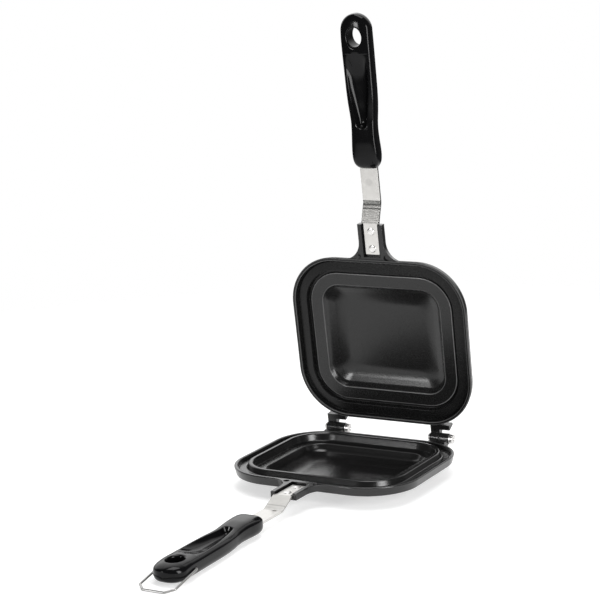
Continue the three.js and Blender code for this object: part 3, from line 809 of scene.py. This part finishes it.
def strip_form():
    """The strip's side line, pushed across its width and thickened, with the tongue and tang cut narrower."""
    bm = bmesh.new()
    verts, edges = line_of(bm, [
        (-strip_half, tongue_end_y, -tongue_depth),
        (-strip_half, jog_y, -tongue_depth),
        (-strip_half, jog_y - jog_run, -handle_depth),
        (-strip_half, tang_end_y, -handle_depth),
    ])
    slope = math.atan2(handle_depth - tongue_depth, jog_run)
    for vert, radius in zip(verts[1:-1], jog_rounds):
        round_corner(bm, vert, radius * math.tan(slope / 2), 10)
    grown = bmesh.ops.extrude_edge_only(bm, edges=bm.edges[:])["geom"]
    bmesh.ops.translate(bm, verts=verts_in(grown), vec=(2 * strip_half, 0, 0))
    cuts = [((x, 0, 0), (1, 0, 0)) for x in (-tongue_half, -tang_half, tang_half, tongue_half)]
    cuts += [((0, y, 0), (0, 1, 0)) for y in (tongue_shoulder_y, tang_shoulder_y)]
    for place, normal in cuts:
        parts = bm.verts[:] + bm.edges[:] + bm.faces[:]
        bmesh.ops.bisect_plane(bm, geom=parts, plane_co=place, plane_no=normal)
    spare = []
    for face in bm.faces:
        x, y, z = face.calc_center_median()
        if (y > tongue_shoulder_y and abs(x) > tongue_half) or (y < tang_shoulder_y and abs(x) > tang_half):
            spare.append(face)
    bmesh.ops.delete(bm, geom=spare, context="FACES")
    bmesh.ops.recalc_face_normals(bm, faces=bm.faces)
    if sum(face.normal.z for face in bm.faces) < 0:
        bmesh.ops.reverse_faces(bm, faces=bm.faces)
    bmesh.ops.solidify(bm, geom=bm.faces[:], thickness=strip_thickness)
    bmesh.ops.recalc_face_normals(bm, faces=bm.faces)
    tongue_corners = [
        e for e in level_edges(bm, 0)
        if min(v.co.y for v in e.verts) > tongue_end_y - hair and abs(e.verts[0].co.x) > tongue_half - hair
    ]
    soften(bm, tongue_corners, tongue_round, 5)
    sharp = [e for e in bm.edges if len(e.link_faces) == 2 and e.calc_face_angle() > strip_edge_angle]
    soften(bm, sharp, strip_round, 2)
    return bm


for half in ("lower", "upper"):
    strip = as_object(strip_form())
    if half == "lower":
        vent = rod_form(vent_radius, (*vent_place, -2 * handle_depth), (*vent_place, overrun))
        work(strip, vent, "DIFFERENCE")
    fit_piece(
        form_of(strip), f"{half}_bracket_strip", half_places[half], f"{half}_half",
        strip_paint(half), [f"{half}_handle_bracket"],
    )


# The rivets. Each bracket has two, driven through its tongue and the socket's floor, with a low round
# head on both sides. They are plain bright steel, a little uneven from the driving.
rivet_radius = 0.002
rivet_head = 0.0031
rivet_crown = 0.0005
rivet_gap = 0.0001
rivet_inset = 0.0046
rivet_spacing = 0.0144
bright_steel = Paint(
    bpy.data.materials.new("driven_rivet_steel"), {"Metallic": 1.0, "Base Color": (0.7, 0.69, 0.68, 1)},
)
dents = bright_steel.noise(bright_steel.place(700), detail=2.0)
bright_steel.vary("Roughness", 0.18 + 0.2 * dents)
bright_steel.bump(dents, 0.00012)


def rivet_form(y):
    """A lathe form: the shank and two low domes."""
    top, bottom = -tongue_depth + rivet_gap, -socket_depth - rivet_gap
    turns = [step * math.pi / 16 for step in range(8)]
    dome = [(rivet_head * math.cos(turn), rivet_crown * math.sin(turn)) for turn in turns]
    profile = [
        (0, bottom - rivet_crown),
        *[(radius, bottom - rise) for radius, rise in reversed(dome)],
        (rivet_radius, bottom),
        (rivet_radius, top),
        *[(radius, top + rise) for radius, rise in dome],
        (0, top + rivet_crown),
    ]
    return lathe_form([(radius, y, z) for radius, z in profile], (0, y, 0), (0, 0, 1), 40)


for half in ("lower", "upper"):
    for number, place in enumerate(("inner", "outer")):
        rivet_y = tongue_end_y - rivet_inset - number * rivet_spacing
        fit_piece(
            rivet_form(rivet_y), f"{half}_rivet_{place}_driven", half_places[half], f"{half}_half",
            bright_steel.owner, [f"{half}_bracket_rivet_{place}"],
        )


# The handles. Each is one glossy black phenolic moulding round the bracket's tang, slim behind a swollen
# pan end, with a finger scoop on its inner face and a rounded oval hole to hang it by.
tip_y = -0.2665
handle_length = handle_y - tip_y
handle_half = 0.01275
handle_inner = 0.0037
handle_outer = 0.0175
handle_thickness = handle_outer - handle_inner
waist_share = 0.48
inner_power = 3.7
outer_power = 2.9
tip_power_fall = 1.1
tip_inner_fall = 0.004
tip_outer_fall = 0.005
scoop_depth = 0.0052
scoop_half = 0.0093
scoop_power = 3.2
scoop_rim = 0.0005
scoop_columns = 52
scoop_least_share = 0.1
scoop_most_share = 0.8
brow_columns = 7
brow_share = 0.86
side_columns = 44
tip_rows = 28
tip_margin_share = 0.008
tip_soft_share = 0.84
tip_soft_run_share = 0.08
handle_margin = 0.0005

# Along the handle from its pan end: its half width, and how far its inner and outer faces are sunk.
row_shares = [
    (-0.010, 0.460, 0.320, 0.360),
    (-0.008, 0.520, 0.255, 0.310),
    (-0.003, 0.590, 0.165, 0.250),
    (0.005, 0.660, 0.070, 0.195),
    (0.018, 0.755, -0.025, 0.135),
    (0.036, 0.835, -0.085, 0.105),
    (0.060, 0.882, -0.115, 0.090),
    (0.090, 0.898, -0.122, 0.085),
    (0.130, 0.885, -0.124, 0.090),
    (0.185, 0.845, -0.118, 0.100),
    (0.250, 0.820, -0.070, 0.100),
    (0.305, 0.830, -0.018, 0.060),
    (0.360, 0.880, 0.000, 0.020),
    (0.430, 0.937, 0.000, 0.000),
    (0.510, 0.970, 0.000, 0.000),
    (0.630, 0.985, 0.000, 0.000),
    (0.760, 1.000, 0.000, 0.000),
    (0.900, 1.000, 0.000, 0.000),
]

# Along the handle: the scoop's half width and its depth.
scoop_shares = [
    (0.262, 0.100, -0.250),
    (0.268, 0.160, 0.200),
    (0.273, 0.320, 0.600),
    (0.287, 0.450, 0.880),
    (0.312, 0.510, 0.960),
    (0.370, 0.650, 1.000),
    (0.435, 0.770, 1.000),
    (0.530, 0.930, 1.000),
    (0.600, 0.980, 0.960),
    (0.650, 1.000, 0.780),
    (0.690, 0.970, 0.520),
    (0.722, 0.880, 0.260),
    (0.745, 0.700, 0.060),
    (0.760, 0.500, -0.150),
]

# The rows of the form, closer where it turns: those of the pan end, then stretches of (start, step, count).
end_row_shares = [-0.01, -0.009, -0.0075, -0.005, -0.002, 0.002, 0.006, 0.01, 0.015, 0.02, 0.027, 0.035]
stretch_row_shares = [(0.045, 0.01, 21), (0.25, 0.0025, 24), (0.31, 0.005, 74), (0.68, 0.0035, 30)]


def eased(table, along, column):
    """A smooth value between the rows of a table, with no overshoot at its ends."""
    if along <= table[0][0]:
        return table[0][column]
    if along >= table[-1][0]:
        return table[-1][column]
    i = max(k for k in range(len(table) - 1) if table[k][0] <= along)
    before, low = table[max(i - 1, 0)], table[i]
    high, after = table[i + 1], table[min(i + 2, len(table) - 1)]
    step = high[0] - low[0]
    share = (along - low[0]) / step
    slope_low = (high[column] - before[column]) / (high[0] - before[0]) * step
    slope_high = (after[column] - low[column]) / (after[0] - low[0]) * step
    return (
        low[column] * (1 + 2 * share) * (1 - share) ** 2 + slope_low * share * (1 - share) ** 2
        + high[column] * share ** 2 * (3 - 2 * share) + slope_high * share ** 2 * (share - 1)
    )


def handle_rows():
    """(along, half width, inner depth, outer depth) of each row, from the pan end to the tip."""
    tip_start = 1 - handle_half / handle_length
    stretches = [start + k * step for start, step, count in stretch_row_shares for k in range(count)]
    places = [along for along in end_row_shares + stretches if along < tip_start - tip_margin_share]
    places += [places[-1] + (tip_start - places[-1]) * k / 10 for k in range(1, 10)]
    rows = [
        (
            along,
            eased(row_shares, along, 1) * handle_half,
            handle_inner + eased(row_shares, along, 2) * handle_thickness,
            handle_outer - eased(row_shares, along, 3) * handle_thickness,
        )
        for along in places
    ]
    for step in range(tip_rows + 1):
        turn = step / tip_rows * math.pi / 2
        fall = 1 - math.cos(turn)
        rows.append((
            tip_start + math.sin(turn) * (1 - tip_start),
            max(handle_half * math.cos(turn), hair / 10),
            handle_inner + tip_inner_fall * fall,
            handle_outer - tip_outer_fall * fall,
        ))
    return rows


def scoop_at(along, across):
    """How deep the scoop is at a share of the handle's length and of the scoop's half width."""
    full = eased(scoop_shares, along, 2) * scoop_depth
    rounding = abs(across) ** scoop_power
    field = full - scoop_depth * rounding if full < 0 else full * (1 - rounding)
    return (field + math.sqrt(field * field + scoop_rim ** 2)) / 2


def handle_ring(along, half, inner, outer):
    """The closed section line of one row: scoop, brows, then the two sides and the outer face."""
    waist = inner + (outer - inner) * waist_share
    rise, drop = waist - inner, outer - waist
    y = handle_y - along * handle_length
    in_scoop = scoop_shares[0][0] < along < scoop_shares[-1][0]
    scoop_share = max(eased(scoop_shares, along, 1), scoop_least_share)
    scoop_width = min(scoop_share * scoop_half, scoop_most_share * half)
    brow_width = brow_share * half
    softened = min(max((along - tip_soft_share) / tip_soft_run_share, 0), 1)
    face_power = inner_power - tip_power_fall * softened

    def face_depth(x):
        return waist - rise * (1 - (abs(x) / half) ** face_power) ** (1 / face_power)

    def scooped(x, across):
        return (x, face_depth(x) + (scoop_at(along, across) if in_scoop else 0))

    half_line = []
    for k in range(scoop_columns // 2 + 1):
        across = math.sin(k / (scoop_columns / 2) * math.pi / 2)
        half_line.append(scooped(across * scoop_width, across))
    for k in range(1, brow_columns + 1):
        x = scoop_width + (brow_width - scoop_width) * k / brow_columns
        half_line.append(scooped(x, x / scoop_width))
    start = math.atan2((waist - face_depth(brow_width)) / rise, brow_width / half)
    for k in range(1, side_columns + 1):
        angle = start - (start + math.pi / 2) * k / side_columns
        c, s = math.cos(angle), math.sin(angle)
        power, reach = (face_power, rise) if s > 0 else (outer_power, drop)
        stretch = (abs(c) ** power + abs(s) ** power) ** (-1 / power)
        half_line.append((half * c * stretch, waist - reach * s * stretch))
    line = half_line + [(-x, depth) for x, depth in reversed(half_line[1:-1])]
    return [Vector((x, y, -depth)) for x, depth in line]


def handle_form():
    """A grid rolled up on the section lines, one row of verts for each, with its seam and ends closed."""
    rings = [handle_ring(*row) for row in handle_rows()]
    around, last = len(rings[0]), len(rings) - 1
    bm = bmesh.new()
    bmesh.ops.create_grid(bm, x_segments=around, y_segments=last, size=1)
    for vert in bm.verts:
        column = round((vert.co.x + 1) / 2 * around)
        row = round((vert.co.y + 1) / 2 * last)
        vert.co = rings[row][column % around]
    bmesh.ops.remove_doubles(bm, verts=bm.verts, dist=2 * hair)
    close_flat(bm, handle_margin)
    return bm


hole_y = tip_y + 0.0178
hole_half = 0.0062
hole_stretch = 0.0152 / 0.0124
hole_rounds = {"inner": 0.0017, "outer": 0.0026}
hole_lead = 0.004
bell_turn = math.radians(72)


def hanging_hole_form():
    """A lathe form with a bell at each end, stretched along the handle."""
    profile = []
    for face, height, way in (("outer", -handle_outer, -1), ("inner", -handle_inner, 1)):
        radius = hole_rounds[face]
        turns = [bell_turn * step / 8 for step in range(9)]
        bell = [
            (hole_half + radius * (1 - math.cos(turn)), height + way * radius * (math.sin(turn) - 1))
            for turn in turns
        ]
        end_radius, end_height = bell[-1]
        bell.append((
            end_radius + hole_lead * math.sin(bell_turn),
            end_height + way * hole_lead * math.cos(bell_turn),
        ))
        profile += reversed(bell) if face == "outer" else bell
    profile = [(0, profile[0][1]), *profile, (0, profile[-1][1])]
    bm = lathe_form([(radius, 0, z) for radius, z in profile], (0, 0, 0), (0, 0, 1), 56)
    bmesh.ops.scale(bm, vec=(1, hole_stretch, 1), verts=bm.verts)
    bmesh.ops.translate(bm, vec=(0, hole_y, 0), verts=bm.verts)
    return bm


phenolic = Paint(
    bpy.data.materials.new("black_phenolic"),
    {"Base Color": (0.003, 0.003, 0.0033, 1), "Specular IOR Level": 0.16},
)
flow = phenolic.noise(phenolic.place(90), detail=2.0)
specks = phenolic.noise(phenolic.place(1500), detail=2.0)
phenolic.vary("Roughness", 0.07 + 0.06 * flow + 0.03 * specks)
phenolic.bump(flow, 0.00002)

# The lower handle has a blind hole in each side for the latch's ends.
latch_y, latch_height = latch_swing["pos_m"][1:]
latch_depth = parting_height - latch_height
latch_hole_radius = 0.0012
latch_hole_reach = (0.008, 0.015)

for half in ("lower", "upper"):
    moulding = as_object(handle_form())
    work(moulding, hanging_hole_form(), "DIFFERENCE")
    if half == "lower":
        for side in (-1, 1):
            ends = [(side * x, latch_y, -latch_depth) for x in latch_hole_reach]
            work(moulding, rod_form(latch_hole_radius, *ends, 24), "DIFFERENCE")
    fit_piece(
        form_of(moulding), f"{half}_handle_moulding", half_places[half], f"{half}_half",
        phenolic.owner, [f"{half}_handle"],
    )


# The latch. It is one bent spring wire whose ends turn into the sides of the lower handle; it hangs over
# the tip and swings up over the end of the upper handle to hold the press shut.
wire_radius = 0.0009
wire_bend = 0.0015
wire_clearance = 0.0003
wire_end = 0.0043
floor_gap = 0.0001
latch_reach = 0.0346
latch_chamfer = 0.0057
latch_leg_x = handle_half + wire_clearance + wire_radius
latch_end_x = latch_leg_x - wire_radius - wire_end
latch_angle = math.asin((base_depth - latch_depth - wire_radius - floor_gap) / latch_reach)
wire_steel = Paint(
    bpy.data.materials.new("drawn_wire_steel"), {"Metallic": 1.0, "Base Color": (0.36, 0.355, 0.35, 1)},
)
drawing = wire_steel.noise(wire_steel.place(2500), detail=1.0)
wire_steel.vary("Roughness", 0.22 + 0.16 * drawing)
wire_steel.bump(drawing, 0.00002)


def wire_form(corners):
    """A round wire in the plane: pushed along each straight, spun round each bend."""
    points = [Vector((x, y, 0)) for x, y in corners]
    headings = [(second - first).normalized() for first, second in zip(points, points[1:])]
    bm = bmesh.new()
    bmesh.ops.create_circle(
        bm, cap_ends=False, segments=20, radius=wire_radius,
        matrix=Matrix.Translation(points[0]) @ headings[0].to_track_quat("Z", "Y").to_matrix().to_4x4(),
    )
    edges = bm.edges[:]
    at = points[0]
    for i, heading in enumerate(headings, 1):
        last = i == len(headings)
        turn = 0 if last else heading.to_2d().angle_signed(headings[i].to_2d())
        reach = wire_bend * math.tan(abs(turn) / 2)
        target = points[i] - heading * reach
        grown = bmesh.ops.extrude_edge_only(bm, edges=edges)["geom"]
        bmesh.ops.translate(bm, verts=verts_in(grown), vec=target - at)
        if last:
            break
        side = Vector((heading.y, -heading.x, 0)) * math.copysign(1, turn)
        spun = bmesh.ops.spin(
            bm, geom=verts_in(grown) + edges_in(grown), cent=target + side * wire_bend,
            axis=(0, 0, -1), angle=turn, steps=8,
        )
        edges = edges_in(spun["geom_last"])
        at = points[i] + headings[i] * reach
    bmesh.ops.holes_fill(bm, edges=[e for e in bm.edges if e.is_boundary], sides=0)
    return bm


half_loop = [
    (latch_end_x, 0),
    (latch_leg_x, 0),
    (latch_leg_x, latch_chamfer - latch_reach),
    (latch_leg_x - latch_chamfer, -latch_reach),
]
loop = wire_form(half_loop + [(-x, y) for x, y in reversed(half_loop)])
latch_place = Matrix.Translation((0, latch_y, latch_height)) @ Matrix.Rotation(latch_angle, 4, "X")
fit_piece(loop, "latch_wire_loop", latch_place, "latch", wire_steel.owner, ["latch_wire"])


# The floor. It is a plain pale table top, lit a little from within so that its shadows stay soft, and it
# fades into the white of the room.
floor_paint = Paint(bpy.data.materials.new("pale_floor"), {
    "Base Color": (0.66, 0.66, 0.66, 1),
    "Roughness": 0.9,
    "Specular IOR Level": 0.0,
    "Emission Color": (1, 1, 1, 1),
    "Emission Strength": 0.55,
})
floor_fade = (0.5, 0.85)
floor_half = 0.9
floor_paint.vary("Alpha", 1 - floor_paint.ramp(floor_paint.length(floor_paint.place()), *floor_fade))
table_top = bmesh.new()
bmesh.ops.create_grid(table_top, x_segments=1, y_segments=1, size=floor_half)
floor = as_object(table_top, "floor")
floor.data.materials.append(floor_paint.owner)


# The light. The room is white behind the press and dark round the rest of it, for the gloss to mirror,
# with soft boxes at the right, in front and overhead. Where the picture shows the room, it is plain white.
bpy.context.scene.view_settings.view_transform = "Standard"
studio = Paint(bpy.data.worlds.new("studio"), {"Color": (1, 1, 1, 1)}, "Background")
bpy.context.scene.world = studio.owner
looking = studio.node("ShaderNodeTexCoord", {}, {}, "Generated")
height = studio.node("ShaderNodeSeparateXYZ", {}, {0: looking}, "Z")
away = studio.dot(looking, (-0.5, 0.866, 0))
behind = studio.ramp(away + 0.35 * height, 0.5, 0.8)
above_floor = studio.ramp(height, 0.02, 0.28)
overhead = studio.ramp(height, 0.75, 0.98)
glow = 0.1 + 1.58 * behind * above_floor * (1 - overhead)
shown = studio.node("ShaderNodeLightPath", {}, {}, "Is Camera Ray")
studio.vary("Strength", glow + shown * (1 - glow))


def soft_box(name, place, aim, size, power):
    lamp = bpy.data.lights.new(name, "AREA")
    lamp.shape = "RECTANGLE"
    lamp.size, lamp.size_y = size
    lamp.energy = power
    box = bpy.data.objects.new(name, lamp)
    box.visible_camera = False
    box.location = place
    box.rotation_mode = "QUATERNION"
    box.rotation_quaternion = (Vector(aim) - Vector(place)).to_track_quat("-Z", "Y")
    bpy.context.scene.collection.objects.link(box)


soft_box("right_light", place=(0.66, -0.35, 0.27), aim=(0, 0, 0.25), size=(0.28, 0.5), power=5)
soft_box("front_light", place=(-0.45, -1.3, 0.3), aim=(0, 0, 0.12), size=(0.3, 0.3), power=6.5)
soft_box("top_light", place=(0.1, 0.0, 1.5), aim=(0, 0, 0), size=(0.9, 0.9), power=14)


# The camera. It stands where the photograph's did: low, to the right of the handles, with a long lens and
# a slight roll.
camera_place = Vector((0.66705, -1.26060, 0.42887))
camera_azimuth = math.radians(29.108)
camera_elevation = math.radians(11.236)
camera_roll = math.radians(-2.136)
backward = Vector((
    math.sin(camera_azimuth) * math.cos(camera_elevation),
    -math.cos(camera_azimuth) * math.cos(camera_elevation),
    math.sin(camera_elevation),
))
level = (-backward).cross(Vector((0, 0, 1))).normalized()
upright = level.cross(-backward)
right = level * math.cos(camera_roll) + upright * math.sin(camera_roll)
up = upright * math.cos(camera_roll) - level * math.sin(camera_roll)
camera_data = bpy.data.cameras.new("camera")
camera_data.lens = 112.678
camera_data.sensor_width = 36
camera_data.clip_end = 60
camera = bpy.data.objects.new("camera", camera_data)
camera.matrix_world = Matrix.Translation(camera_place) @ Matrix((right, up, backward)).transposed().to_4x4()
bpy.context.scene.collection.objects.link(camera)
bpy.context.scene.camera = camera
